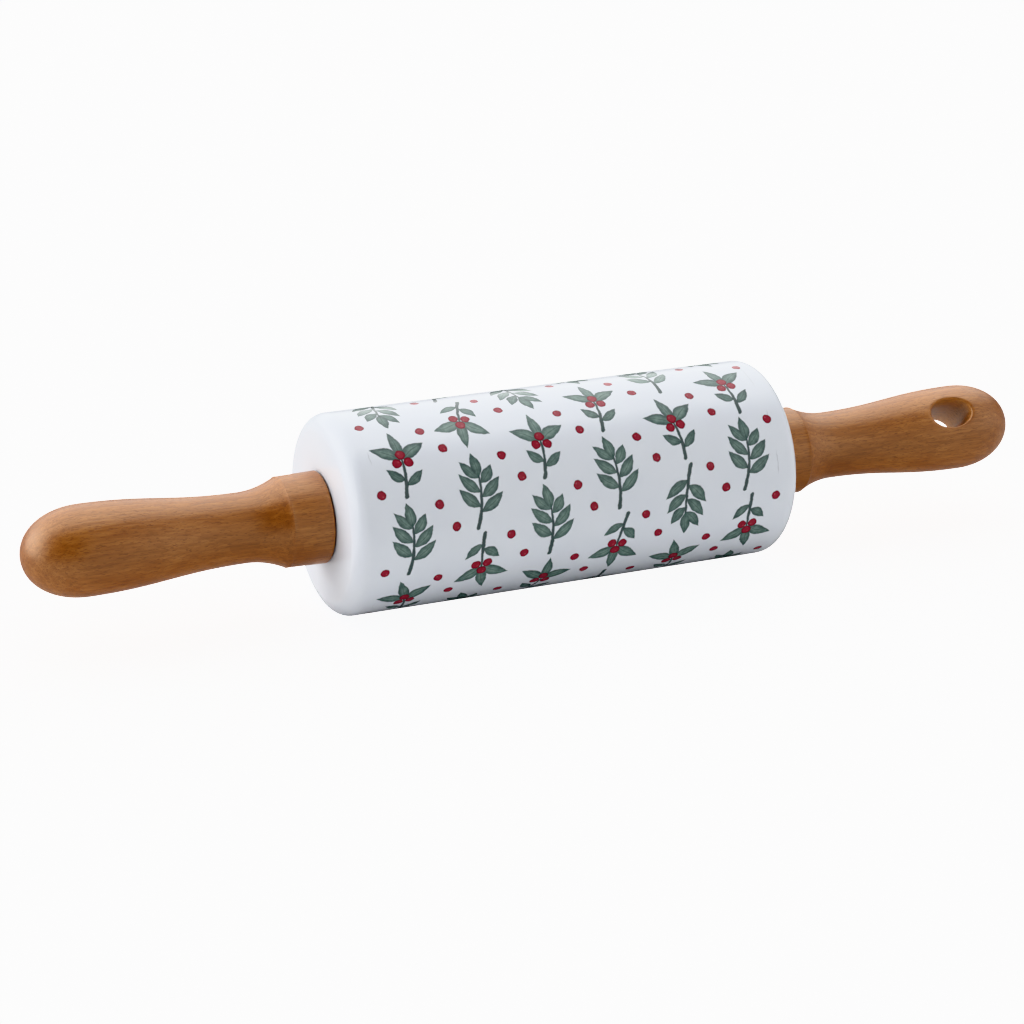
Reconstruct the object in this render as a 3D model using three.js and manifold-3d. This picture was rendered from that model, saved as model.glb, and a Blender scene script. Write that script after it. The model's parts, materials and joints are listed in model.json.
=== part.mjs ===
// A mini rolling pin: a hollow ceramic barrel that spins on a steel axle between two turned beech handles.
// The pin lies along X with its left handle at -X. The barrel rests on the plane z = 0.
// All sizes are in millimetres.
import * as THREE from 'three';
import { mergeVertices } from 'three/addons/utils/BufferGeometryUtils.js';
import Module from 'manifold-3d';

// Barrel
const BARREL_DIAMETER = 46;
const BARREL_LENGTH = 109.5;
const BARREL_EDGE_RADIUS = 4;
const BARREL_WALL = 5.5;
const BARREL_END_WALL = 8;

// Axle
const AXLE_DIAMETER = 8;
const THREAD_DIAMETER = 6;
const THREAD_LENGTH = 23;
const THREAD_CHAMFER = 0.8;

// Bush in each end of the barrel, and the thrust washer outside it
const BUSH_WALL = 2.2;
const BUSH_STAND_IN = 1.2;
const BUSH_FLANGE_WIDTH = 2.2;
const BUSH_FLANGE_THICKNESS = 1.4;
const WASHER_WIDTH = 4;
const WASHER_THICKNESS = 0.8;

// Threaded insert in each handle
const INSERT_WALL = 1.8;
const INSERT_LENGTH = 16;
const INSERT_FLANGE_WIDTH = 1.8;
const INSERT_FLANGE_THICKNESS = 1.2;

// Handle, measured from the collar end that faces the barrel
const HANDLE_LENGTH = 68;
const COLLAR_LENGTH = 9.3;
const COLLAR_END_DIAMETER = 20.9;
const COLLAR_RIDGE_DIAMETER = 20.5;
const COLLAR_EDGE_RADIUS = 0.3;
const WAIST_DIAMETER = 15.9;
const WAIST_POSITION = 18.5;
const PALM_DIAMETER = 20.4;
const PALM_POSITION = 54;
const SWELL_EASE = 0.44;
const NOSE_FULLNESS = 2.1;

// Hanging hole in the right handle: an oval, drilled a little askew
const HOLE_LENGTH = 10.5;
const HOLE_WIDTH = 7.5;
const HOLE_FROM_TIP = 16.7;
const HOLE_OFF_AXIS = 1.15;
const HOLE_RISE = THREE.MathUtils.degToRad(35.5);
const HOLE_SKEW = THREE.MathUtils.degToRad(12.5);

// Clearances
const COLLAR_GAP = 0.35;
const RUNNING_CLEARANCE = 0.2;
const SIDE_CLEARANCE = 0.12;
const SEAT_CLEARANCE = 0.12;
const ROD_END_CLEARANCE = 1;

// Sides of a turned piece, and steps along its curves
const FACETS = 32;
const EDGE_STEPS = 4;
const CURVE_STEPS = 7;
const NOSE_STEPS = 7;
const HOLE_STEPS = 16;

const wasm = await Module();
wasm.setup();

function piece(name, geometry, finish) {
  const mesh = new THREE.Mesh(geometry, new THREE.MeshStandardMaterial(finish));
  mesh.name = name;
  return mesh;
}

// Spins a profile of (radius, distance along the pin) points about X.
// The flats touch the true circle, and one of them faces straight down.
function turned(profile) {
  const cornerScale = 1 / Math.cos(Math.PI / FACETS);
  const points = profile.map(([radius, along]) => new THREE.Vector2(radius * cornerScale, along));
  const geometry = new THREE.LatheGeometry(points, FACETS, Math.PI / FACETS);
  return geometry.rotateZ(-Math.PI / 2);
}

// Points of a quarter turn about a centre, from one angle to the other, both ends included
function roundEdge(centreRadius, centreAlong, radius, from, to) {
  return Array.from({ length: EDGE_STEPS + 1 }, (_, step) => {
    const angle = from + ((to - from) * step) / EDGE_STEPS;
    return [centreRadius + radius * Math.cos(angle), centreAlong + radius * Math.sin(angle)];
  });
}

function curvePoints(curve) {
  return curve.getPoints(CURVE_STEPS).map((point) => [point.x, point.y]);
}

// A closed geometry as a solid that can be cut, without the flat triangles that a lathe leaves on its axis
function toSolid(geometry) {
  const bare = geometry.clone();
  bare.deleteAttribute('normal');
  bare.deleteAttribute('uv');
  const merged = mergeVertices(bare);
  const corners = merged.index.array;
  const kept = [];
  for (let first = 0; first < corners.length; first += 3) {
    const [a, b, c] = corners.slice(first, first + 3);
    if (a !== b && b !== c && c !== a) kept.push(a, b, c);
  }
  return new wasm.Manifold(new wasm.Mesh({
    numProp: 3,
    vertProperties: Float32Array.from(merged.attributes.position.array),
    triVerts: Uint32Array.from(kept),
  }));
}

function toGeometry(solid) {
  const mesh = solid.getMesh();
  const geometry = new THREE.BufferGeometry();
  geometry.setAttribute('position', new THREE.BufferAttribute(mesh.vertProperties, 3));
  geometry.setIndex(new THREE.BufferAttribute(mesh.triVerts, 1));
  return geometry;
}

// Radii of the bearing stack at each end, from the axle outwards
const boreRadius = AXLE_DIAMETER / 2 + RUNNING_CLEARANCE;
const bushRadius = boreRadius + BUSH_WALL;
const bushFlangeRadius = bushRadius + BUSH_FLANGE_WIDTH;
const washerRadius = boreRadius + WASHER_WIDTH;
const recessRadius = Math.max(bushFlangeRadius, washerRadius) + SEAT_CLEARANCE;

// Distances of that stack along the pin, measured outwards from the barrel's end face
const washerOuter = COLLAR_GAP - SEAT_CLEARANCE;
const washerInner = washerOuter - WASHER_THICKNESS;
const bushOuter = washerInner - SIDE_CLEARANCE;
const bushShoulder = bushOuter - BUSH_FLANGE_THICKNESS;
const recessFloor = bushShoulder - SEAT_CLEARANCE;
const bushInner = -BARREL_END_WALL - BUSH_STAND_IN;

// Radii of the axle's seat in each handle
const threadBoreRadius = THREAD_DIAMETER / 2 + SEAT_CLEARANCE;
const insertRadius = threadBoreRadius + INSERT_WALL;
const insertFlangeRadius = insertRadius + INSERT_FLANGE_WIDTH;

// The barrel's section is one closed outline: the outside, the recess and hole in each end, and the hollow.
function barrel() {
  const radius = BARREL_DIAMETER / 2;
  const half = BARREL_LENGTH / 2;
  const holeRadius = bushRadius + SEAT_CLEARANCE;
  const hollowRadius = radius - BARREL_WALL;
  const hollowHalf = half - BARREL_END_WALL;
  const edgeRadius = radius - BARREL_EDGE_RADIUS;
  const edgeAlong = half - BARREL_EDGE_RADIUS;
  const cornerRadius = hollowRadius - BARREL_EDGE_RADIUS;
  const cornerAlong = hollowHalf - BARREL_EDGE_RADIUS;
  const quarter = Math.PI / 2;
  const start = [recessRadius, -half];
  return turned([
    start,
    ...roundEdge(edgeRadius, -edgeAlong, BARREL_EDGE_RADIUS, -quarter, 0),
    ...roundEdge(edgeRadius, edgeAlong, BARREL_EDGE_RADIUS, 0, quarter),
    [recessRadius, half],
    [recessRadius, half + recessFloor],
    [holeRadius, half + recessFloor],
    [holeRadius, hollowHalf],
    ...roundEdge(cornerRadius, cornerAlong, BARREL_EDGE_RADIUS, quarter, 0),
    ...roundEdge(cornerRadius, -cornerAlong, BARREL_EDGE_RADIUS, 0, -quarter),
    [holeRadius, -hollowHalf],
    [holeRadius, -half - recessFloor],
    [recessRadius, -half - recessFloor],
    start,
  ]);
}

// The axle's shoulders stand against the inserts, so they set how far apart the handles are.
function axle() {
  const radius = AXLE_DIAMETER / 2;
  const threadRadius = THREAD_DIAMETER / 2;
  const shoulder = BARREL_LENGTH / 2 + COLLAR_GAP - SEAT_CLEARANCE;
  const end = shoulder + THREAD_LENGTH;
  return turned([
    [0, -end],
    [threadRadius - THREAD_CHAMFER, -end],
    [threadRadius, -end + THREAD_CHAMFER],
    [threadRadius, -shoulder],
    [radius, -shoulder],
    [radius, shoulder],
    [threadRadius, shoulder],
    [threadRadius, end - THREAD_CHAMFER],
    [threadRadius - THREAD_CHAMFER, end],
    [0, end],
  ]);
}

function bush() {
  const start = [boreRadius, bushInner];
  return turned([
    start,
    [bushRadius, bushInner],
    [bushRadius, bushShoulder],
    [bushFlangeRadius, bushShoulder],
    [bushFlangeRadius, bushOuter],
    [boreRadius, bushOuter],
    start,
  ]);
}

function washer() {
  const start = [boreRadius, washerInner];
  return turned([
    start,
    [washerRadius, washerInner],
    [washerRadius, washerOuter],
    [boreRadius, washerOuter],
    start,
  ]);
}

// The insert's flange lies flush with the collar's end.
function insert() {
  const start = [threadBoreRadius, COLLAR_GAP];
  const flangeInner = COLLAR_GAP + INSERT_FLANGE_THICKNESS;
  const end = COLLAR_GAP + INSERT_LENGTH;
  return turned([
    start,
    [insertFlangeRadius, COLLAR_GAP],
    [insertFlangeRadius, flangeInner],
    [insertRadius, flangeInner],
    [insertRadius, end],
    [threadBoreRadius, end],
    start,
  ]);
}

// The outside of a handle from its collar end to its tip
function handleOutline() {
  const collarEnd = COLLAR_END_DIAMETER / 2;
  const ridge = COLLAR_RIDGE_DIAMETER / 2;
  const waist = WAIST_DIAMETER / 2;
  const palm = PALM_DIAMETER / 2;
  const swellReach = SWELL_EASE * (PALM_POSITION - WAIST_POSITION);
  const flare = new THREE.QuadraticBezierCurve(
    new THREE.Vector2(ridge, COLLAR_LENGTH),
    new THREE.Vector2(waist, (COLLAR_LENGTH + WAIST_POSITION) / 2),
    new THREE.Vector2(waist, WAIST_POSITION),
  );
  const swell = new THREE.CubicBezierCurve(
    new THREE.Vector2(waist, WAIST_POSITION),
    new THREE.Vector2(waist, WAIST_POSITION + swellReach),
    new THREE.Vector2(palm, PALM_POSITION - swellReach),
    new THREE.Vector2(palm, PALM_POSITION),
  );
  const noseLength = HANDLE_LENGTH - PALM_POSITION;
  const nose = [];
  for (let step = 1; step < NOSE_STEPS; step += 1) {
    const angle = (Math.PI / 2) * (step / NOSE_STEPS);
    nose.push([
      palm * Math.cos(angle) ** (2 / NOSE_FULLNESS),
      PALM_POSITION + noseLength * Math.sin(angle) ** (2 / NOSE_FULLNESS),
    ]);
  }
  return [
    ...roundEdge(collarEnd - COLLAR_EDGE_RADIUS, COLLAR_EDGE_RADIUS, COLLAR_EDGE_RADIUS, -Math.PI / 2, 0),
    ...curvePoints(flare),
    ...curvePoints(swell).slice(1),
    ...nose,
    [0, HANDLE_LENGTH],
  ];
}

// A handle with the stepped blind hole that takes the insert and the end of the axle
function handle() {
  const flangeSeat = insertFlangeRadius + SEAT_CLEARANCE;
  const insertSeat = insertRadius + SEAT_CLEARANCE;
  const flangeDepth = INSERT_FLANGE_THICKNESS + SEAT_CLEARANCE;
  const insertDepth = INSERT_LENGTH + SEAT_CLEARANCE;
  const rodDepth = THREAD_LENGTH + ROD_END_CLEARANCE;
  const profile = [
    [0, rodDepth],
    [threadBoreRadius, rodDepth],
    [threadBoreRadius, insertDepth],
    [insertSeat, insertDepth],
    [insertSeat, flangeDepth],
    [flangeSeat, flangeDepth],
    [flangeSeat, 0],
    ...handleOutline(),
  ];
  return turned(profile.map(([radius, along]) => [radius, along + COLLAR_GAP]));
}

// The oval drill that makes the hanging hole, long enough to pass right through the palm
function hangingHole() {
  const section = new THREE.Shape().absellipse(0, 0, HOLE_LENGTH / 2, HOLE_WIDTH / 2, 0, 2 * Math.PI);
  const depth = 2 * PALM_DIAMETER;
  const drill = new THREE.ExtrudeGeometry(section, { depth, curveSegments: HOLE_STEPS, bevelEnabled: false });
  const turnUp = Math.PI / 2 - HOLE_RISE;
  return drill
    .translate(0, HOLE_OFF_AXIS, -depth / 2)
    .rotateY(-HOLE_SKEW)
    .rotateX(turnUp)
    .translate(COLLAR_GAP + HANDLE_LENGTH - HOLE_FROM_TIP, 0, 0);
}

const ceramic = { color: 0xf1f2f5, roughness: 0.12, metalness: 0 };
const beech = { color: 0xa96c3f, roughness: 0.45, metalness: 0 };
const steel = { color: 0xb9bcc0, roughness: 0.3, metalness: 1 };
const nylon = { color: 0xe8e4da, roughness: 0.5, metalness: 0 };
const fibre = { color: 0x2e2a28, roughness: 0.7, metalness: 0 };
const brass = { color: 0xc9a34e, roughness: 0.3, metalness: 1 };

const pin = new THREE.Group();
pin.position.z = BARREL_DIAMETER / 2;
pin.add(piece('roller_barrel', barrel(), ceramic));
pin.add(piece('axle_rod', axle(), steel));

// Both ends carry the same fittings. The left end is turned half round, and only the right handle is drilled.
for (const side of ['left', 'right']) {
  const end = new THREE.Group();
  end.position.x = (side === 'right' ? 1 : -1) * (BARREL_LENGTH / 2);
  end.rotation.z = side === 'right' ? 0 : Math.PI;
  const drilled = () => toGeometry(toSolid(handle()).subtract(toSolid(hangingHole())));
  end.add(piece(`${side}_bush`, bush(), nylon));
  end.add(piece(`${side}_washer`, washer(), fibre));
  end.add(piece(`${side}_insert`, insert(), brass));
  end.add(piece(`${side}_handle`, side === 'right' ? drilled() : handle(), beech));
  pin.add(end);
}

export default pin;
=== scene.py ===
import json
import math

import bmesh
import bpy
from mathutils import Matrix, Vector


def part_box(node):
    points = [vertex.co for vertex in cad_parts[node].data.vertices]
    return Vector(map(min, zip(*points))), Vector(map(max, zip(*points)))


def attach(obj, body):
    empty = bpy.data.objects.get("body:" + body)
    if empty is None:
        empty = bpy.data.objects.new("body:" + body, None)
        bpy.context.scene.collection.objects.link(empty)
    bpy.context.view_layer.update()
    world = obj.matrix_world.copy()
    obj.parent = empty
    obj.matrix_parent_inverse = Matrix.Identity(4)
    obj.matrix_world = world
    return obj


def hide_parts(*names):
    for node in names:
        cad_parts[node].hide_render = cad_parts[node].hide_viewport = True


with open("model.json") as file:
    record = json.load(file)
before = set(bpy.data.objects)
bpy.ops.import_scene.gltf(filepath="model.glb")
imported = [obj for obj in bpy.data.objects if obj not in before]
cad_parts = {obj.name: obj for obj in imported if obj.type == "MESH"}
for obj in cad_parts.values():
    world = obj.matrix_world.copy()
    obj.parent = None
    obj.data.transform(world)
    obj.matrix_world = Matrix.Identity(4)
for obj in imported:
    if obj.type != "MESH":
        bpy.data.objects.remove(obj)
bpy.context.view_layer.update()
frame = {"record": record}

# Axle: one drawn steel rod through the whole pin, turned down to a rolled thread at each end.
# Its shoulders stand against the handles' inserts, and the barrel spins on its plain middle.
axle_low, axle_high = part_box("axle_rod")
pin_height = (axle_low.z + axle_high.z) / 2
rod_radius = (axle_high.z - axle_low.z) / 2
rod_half = axle_high.x
thread_radius = 0.003
thread_length = 0.023
thread_pitch = 0.001
thread_depth = 0.0005
thread_runout = 0.0016
thread_step = 0.000125
rod_chamfer = 0.0008
shoulder_chamfer = 0.0003
rod_sides = 64
weld_distance = 1e-6
smooth_angle = math.radians(32)


def turn_on_lathe(name, outline, sides):
    """Draws half an outline of (along, radius) points and spins it once round the pin's axis."""
    bpy.ops.object.select_all(action="DESELECT")
    bpy.ops.mesh.primitive_plane_add(size=rod_radius)
    piece = bpy.context.object
    piece.name = name
    piece.data.name = name
    bpy.ops.object.mode_set(mode="EDIT")
    bpy.ops.mesh.select_all(action="SELECT")
    bpy.ops.mesh.merge(type="CENTER")
    first_along, first_radius = outline[0]
    bpy.ops.transform.translate(value=(first_along, 0, pin_height + first_radius))
    for (along, radius), (last_along, last_radius) in zip(outline[1:], outline):
        move = (along - last_along, 0, radius - last_radius)
        bpy.ops.mesh.extrude_region_move(TRANSFORM_OT_translate={"value": move})
    bpy.ops.mesh.select_all(action="SELECT")
    bpy.ops.mesh.spin(steps=sides, angle=math.tau, center=(0, 0, pin_height), axis=(1, 0, 0))
    bpy.ops.mesh.select_all(action="SELECT")
    bpy.ops.mesh.remove_doubles(threshold=weld_distance)
    bpy.ops.mesh.normals_make_consistent(inside=False)
    bpy.ops.object.mode_set(mode="OBJECT")
    bpy.ops.object.shade_smooth_by_angle(angle=smooth_angle)
    return piece


def spaced(start, end, step, radius):
    """Outline points at one radius, evenly spaced between two places and including both."""
    count = max(1, round(abs(end - start) / step))
    return [(start + (end - start) * n / count, radius) for n in range(count + 1)]


def to_side(side, outline):
    """An outline drawn at the right end, kept there (1) or turned to the left end (-1)."""
    return [(side * along, radius) for along, radius in outline]


def cut_thread(piece, start, end, radius, pitch, depth):
    """Presses a helical vee into the points between two places, fading out at both ends."""
    low, high = min(start, end), max(start, end)
    for point in piece.data.vertices:
        along = point.co.x
        arm = Vector((0, point.co.y, point.co.z - pin_height))
        if not low <= along <= high or abs(arm.length - radius) > 10 * weld_distance:
            continue
        turn = math.atan2(arm.y, arm.z) / math.tau
        phase = (along / pitch + turn) % 1
        fade = min(1, (along - low) / thread_runout, (high - along) / thread_runout)
        arm *= (radius - depth * fade * abs(2 * phase - 1)) / radius
        point.co = (along, arm.y, pin_height + arm.z)


shoulder = rod_half - thread_length
thread_start = shoulder + shoulder_chamfer
thread_end = rod_half - rod_chamfer
right_half = [
    (shoulder - shoulder_chamfer, rod_radius),
    (shoulder, rod_radius - shoulder_chamfer),
    (shoulder, thread_radius),
    *spaced(thread_start, thread_end, thread_step, thread_radius),
    (rod_half, thread_radius - rod_chamfer),
    (rod_half, 0),
]
left_half = to_side(-1, reversed(right_half))
axle_rod = turn_on_lathe("axle_rod_turned", left_half + right_half, rod_sides)
for side in (-1, 1):
    cut_thread(axle_rod, side * thread_start, side * thread_end, thread_radius, thread_pitch, thread_depth)


def new_material(name):
    """A material with one Principled BSDF: returns the material, its node tree and that shader."""
    material = bpy.data.materials.new(name)
    material.use_nodes = True
    return material, material.node_tree, material.node_tree.nodes["Principled BSDF"]


def put(tree, socket, value):
    """Links a socket to an input, or sets the input to a plain value."""
    if isinstance(value, bpy.types.NodeSocket):
        tree.links.new(value, socket)
    else:
        socket.default_value = value


def calc(tree, operation, *values, clamp=False):
    """A Math node on sockets or plain numbers."""
    node = tree.nodes.new("ShaderNodeMath")
    node.operation = operation
    node.use_clamp = clamp
    for socket, value in zip(node.inputs, values):
        put(tree, socket, value)
    return node.outputs["Value"]


def object_place(tree):
    """The place on the piece, in metres."""
    return tree.nodes.new("ShaderNodeTexCoord").outputs["Object"]


def noise(tree, vector, size, detail=2):
    """A noise texture with marks of about this size: its value lies around one half."""
    node = tree.nodes.new("ShaderNodeTexNoise")
    put(tree, node.inputs["Vector"], vector)
    node.inputs["Scale"].default_value = 1 / size
    node.inputs["Detail"].default_value = detail
    return node.outputs["Fac"]


def ramp(tree, value, *stops):
    """A colour ramp from (place, colour) stops."""
    node = tree.nodes.new("ShaderNodeValToRGB")
    put(tree, node.inputs["Fac"], value)
    elements = node.color_ramp.elements
    while len(elements) < len(stops):
        elements.new(0.5)
    for element, (place, colour) in zip(elements, stops):
        element.position = place
        element.color = (*colour, 1)
    return node.outputs["Color"]


def bump(tree, height, strength, depth):
    """A bump's normal from a height between 0 and 1."""
    node = tree.nodes.new("ShaderNodeBump")
    node.inputs["Strength"].default_value = strength
    node.inputs["Distance"].default_value = depth
    put(tree, node.inputs["Height"], height)
    return node.outputs["Normal"]


def start_group(name, inputs, outputs, vectors=()):
    """A node group with number sockets, or vectors where named: its tree, inputs and outputs."""
    group = bpy.data.node_groups.new(name, "ShaderNodeTree")
    for title in inputs:
        kind = "NodeSocketVector" if title in vectors else "NodeSocketFloat"
        group.interface.new_socket(title, in_out="INPUT", socket_type=kind)
    for title in outputs:
        group.interface.new_socket(title, in_out="OUTPUT", socket_type="NodeSocketFloat")
    given = group.nodes.new("NodeGroupInput").outputs
    result = group.nodes.new("NodeGroupOutput").inputs
    return group, given, result


def place_group(tree, group, values):
    """Puts a node group in a tree with its inputs linked or set, and returns its outputs."""
    node = tree.nodes.new("ShaderNodeGroup")
    node.node_tree = group
    for title, value in values.items():
        put(tree, node.inputs[title], value)
    return node.outputs


def machining_marks():
    """The group for small turned and moulded parts: fine rings round the axis, and a slow mottle."""
    group, given, result = start_group("machining_marks", ("Place", "Ring Scale", "Mottle Scale"),
                                       ("Rings", "Mottle"), vectors=("Place",))
    split = group.nodes.new("ShaderNodeSeparateXYZ")
    put(group, split.inputs["Vector"], given["Place"])
    rings = group.nodes.new("ShaderNodeTexNoise")
    rings.noise_dimensions = "1D"
    put(group, rings.inputs["W"], split.outputs["X"])
    put(group, rings.inputs["Scale"], given["Ring Scale"])
    rings.inputs["Detail"].default_value = 3
    mottle = group.nodes.new("ShaderNodeTexNoise")
    put(group, mottle.inputs["Vector"], given["Place"])
    put(group, mottle.inputs["Scale"], given["Mottle Scale"])
    mottle.inputs["Detail"].default_value = 4
    put(group, result["Rings"], rings.outputs["Fac"])
    put(group, result["Mottle"], mottle.outputs["Fac"])
    return group


marks_group = machining_marks()
marks_depth = 0.00004
marks_strength = 0.25
mottle_low = 0.3
mottle_high = 0.7


def marked_finish(name, dark, light, smooth, rough, ring_size, mottle_size, metallic):
    """A small part's finish: its colour follows the mottle, and its roughness and bump the rings."""
    material, tree, shader = new_material(name)
    marks = place_group(tree, marks_group, {
        "Place": object_place(tree), "Ring Scale": 1 / ring_size, "Mottle Scale": 1 / mottle_size})
    colour = ramp(tree, marks["Mottle"], (mottle_low, dark), (mottle_high, light))
    roughness = calc(tree, "MULTIPLY_ADD", marks["Rings"], rough - smooth, smooth)
    put(tree, shader.inputs["Base Color"], colour)
    put(tree, shader.inputs["Roughness"], roughness)
    put(tree, shader.inputs["Normal"], bump(tree, marks["Rings"], marks_strength, marks_depth))
    shader.inputs["Metallic"].default_value = metallic
    return material


def fit_piece(piece, node, body, material):
    """Gives a piece its finish and puts it in its CAD node's place."""
    piece.data.materials.clear()
    piece.data.materials.append(material)
    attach(piece, body)
    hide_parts(node)


drawn_steel = marked_finish("drawn_steel", dark=(0.42, 0.43, 0.44), light=(0.58, 0.59, 0.6),
                            smooth=0.18, rough=0.42, ring_size=0.00017, mottle_size=0.011, metallic=1)
fit_piece(axle_rod, "axle_rod", "handles", drawn_steel)

# Bushes: two moulded nylon sleeves with a flange, pushed into the barrel's end holes.
# The barrel carries them round, and their bores run on the axle.
running_clearance = 0.0002
bore_radius = rod_radius + running_clearance
bush_wall = 0.0022
bush_flange = 0.0014
bush_chamfer = 0.0003
ring_sides = 96


def end_box(name):
    """How far from the pin's middle a piece at either end starts and stops, and its outer radius."""
    low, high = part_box(name)
    near, far = sorted((abs(low.x), abs(high.x)))
    return near, far, (high.z - low.z) / 2


natural_nylon = marked_finish("natural_nylon", dark=(0.68, 0.64, 0.54), light=(0.82, 0.79, 0.7),
                              smooth=0.35, rough=0.55, ring_size=0.0011, mottle_size=0.006, metallic=0)
for side, name in ((-1, "left_bush"), (1, "right_bush")):
    bush_start, bush_end, bush_flange_radius = end_box(name)
    sleeve_radius = bore_radius + bush_wall
    bush_shoulder = bush_end - bush_flange
    outline = [
        (bush_start, bore_radius + bush_chamfer),
        (bush_start, sleeve_radius - bush_chamfer),
        (bush_start + bush_chamfer, sleeve_radius),
        (bush_shoulder, sleeve_radius),
        (bush_shoulder, bush_flange_radius - bush_chamfer),
        (bush_shoulder + bush_chamfer, bush_flange_radius),
        (bush_end - bush_chamfer, bush_flange_radius),
        (bush_end, bush_flange_radius - bush_chamfer),
        (bush_end, bore_radius + bush_chamfer),
        (bush_end - bush_chamfer, bore_radius),
        (bush_start + bush_chamfer, bore_radius),
        (bush_start, bore_radius + bush_chamfer),
    ]
    bush = turn_on_lathe(name + "_moulded", to_side(side, outline), ring_sides)
    fit_piece(bush, name, "roller", natural_nylon)

# Barrel: hollow slip-cast ceramic with soft round ends, glazed white all over and fired.
# Each end wall has a recessed hole for a bush. A transfer of small sprigs and berries, printed in
# a brick repeat, is fired into the glaze round its whole length but for a bare band at each end.
barrel_low, barrel_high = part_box("roller_barrel")
barrel_radius = (barrel_high.z - barrel_low.z) / 2
barrel_half = (barrel_high.x - barrel_low.x) / 2
edge_radius = 0.004
barrel_wall = 0.0055
end_wall = 0.008
seat_clearance = 0.00012
recess_edge = 0.0004
recess_radius = bush_flange_radius + seat_clearance
recess_floor = bush_shoulder - seat_clearance
hole_radius = sleeve_radius + seat_clearance
hollow_half = barrel_half - end_wall
hollow_radius = barrel_radius - barrel_wall
barrel_sides = 192
barrel_step = 0.0025
edge_steps = 16
recess_steps = 4
hollow_steps = 6


def arc(centre_along, centre_radius, size, start, end, steps):
    """Outline points of an arc, between two angles in degrees from the pin's direction."""
    turns = [math.radians(start + (end - start) * n / steps) for n in range(steps + 1)]
    return [(centre_along + size * math.cos(turn), centre_radius + size * math.sin(turn)) for turn in turns]


edge_along = barrel_half - edge_radius
right_half = [
    *spaced(0, edge_along, barrel_step, barrel_radius)[:-1],
    *arc(edge_along, barrel_radius - edge_radius, edge_radius, 90, 0, edge_steps),
    *arc(barrel_half - recess_edge, recess_radius + recess_edge, recess_edge, 0, -90, recess_steps),
    (recess_floor, recess_radius),
    (recess_floor, hole_radius),
    (hollow_half, hole_radius),
    *arc(hollow_half - edge_radius, hollow_radius - edge_radius, edge_radius, 0, 90, hollow_steps),
    (0, hollow_radius),
]
left_half = to_side(-1, reversed(right_half))
barrel = turn_on_lathe("roller_barrel_glazed", right_half + left_half[1:], barrel_sides)

# The transfer is drawn in millimetres on the unrolled barrel, along it and around it.
millimetre = 0.001
paint_edge = 0.16
leaf_belly = 0.85
leaf_rim = 1.2
rib_width = 0.2
rib_contrast = 0.6
stem_tip_share = 0.5
berry_rim = 0.5
berry_body = 0.6
shine_offset = 0.35
shine_radius = 0.32
shine_softness = 0.3
motifs_round = 8
ring_pitch = 16.6
print_reach = 43
glaze_white = (0.86, 0.9, 0.962)
glaze_shadow = (0.838, 0.878, 0.945)
leaf_dark = (0.05, 0.092, 0.083)
leaf_middle = (0.098, 0.165, 0.145)
leaf_light = (0.25, 0.36, 0.305)
stem_green = (0.05, 0.083, 0.078)
berry_dark = (0.14, 0.01, 0.02)
berry_red = (0.3, 0.018, 0.036)
berry_shine = (0.45, 0.09, 0.11)
edge_grey = (0.45, 0.47, 0.5)


def apart(tree, across, upward):
    """How far apart two places are, from the two parts of the way between them."""
    squares = [calc(tree, "MULTIPLY", part, part) for part in (across, upward)]
    return calc(tree, "SQRT", calc(tree, "ADD", *squares))


def painted_leaf():
    """The group for one leaf: its mask, and a tone that is dark at the rim and along the rib."""
    group, given, result = start_group(
        "painted_leaf",
        ("Along", "Around", "Base Along", "Base Around", "Sine", "Cosine", "Length", "Width", "Bend"),
        ("Mask", "Tone"))
    across = calc(group, "SUBTRACT", given["Along"], given["Base Along"])
    upward = calc(group, "SUBTRACT", given["Around"], given["Base Around"])
    run = calc(group, "ADD", calc(group, "MULTIPLY", across, given["Sine"]),
               calc(group, "MULTIPLY", upward, given["Cosine"]))
    aside = calc(group, "SUBTRACT", calc(group, "MULTIPLY", across, given["Cosine"]),
                 calc(group, "MULTIPLY", upward, given["Sine"]))
    share = calc(group, "DIVIDE", run, given["Length"], clamp=True)
    rounded = calc(group, "POWER", share, leaf_belly)
    swell = calc(group, "SINE", calc(group, "MULTIPLY", rounded, math.pi))
    curl = calc(group, "MULTIPLY", swell, given["Bend"])
    aside = calc(group, "ABSOLUTE", calc(group, "SUBTRACT", aside, curl))
    half_width = calc(group, "MULTIPLY", swell, calc(group, "MULTIPLY", given["Width"], 0.5))
    inside = calc(group, "SUBTRACT", half_width, aside)
    heart = calc(group, "DIVIDE", inside, leaf_rim, clamp=True)
    off_rib = calc(group, "DIVIDE", aside, rib_width, clamp=True)
    rib = calc(group, "MULTIPLY_ADD", off_rib, rib_contrast, 1 - rib_contrast)
    put(group, result["Mask"], calc(group, "DIVIDE", inside, paint_edge, clamp=True))
    put(group, result["Tone"], calc(group, "MULTIPLY", heart, rib))
    return group


def painted_stem():
    """The group for a stem along the motif's middle: a tapering line with round ends."""
    group, given, result = start_group(
        "painted_stem", ("Along", "Around", "Start", "End", "Width"), ("Mask",))
    before_end = calc(group, "MINIMUM", given["Around"], given["End"])
    nearest = calc(group, "MAXIMUM", before_end, given["Start"])
    beyond = calc(group, "SUBTRACT", given["Around"], nearest)
    distance = apart(group, beyond, given["Along"])
    length = calc(group, "SUBTRACT", given["End"], given["Start"])
    share = calc(group, "DIVIDE", calc(group, "SUBTRACT", nearest, given["Start"]), length)
    taper = calc(group, "MULTIPLY_ADD", share, (stem_tip_share - 1) / 2, 1 / 2)
    half_width = calc(group, "MULTIPLY", given["Width"], taper)
    inside = calc(group, "SUBTRACT", half_width, distance)
    put(group, result["Mask"], calc(group, "DIVIDE", inside, paint_edge, clamp=True))
    return group


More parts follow.
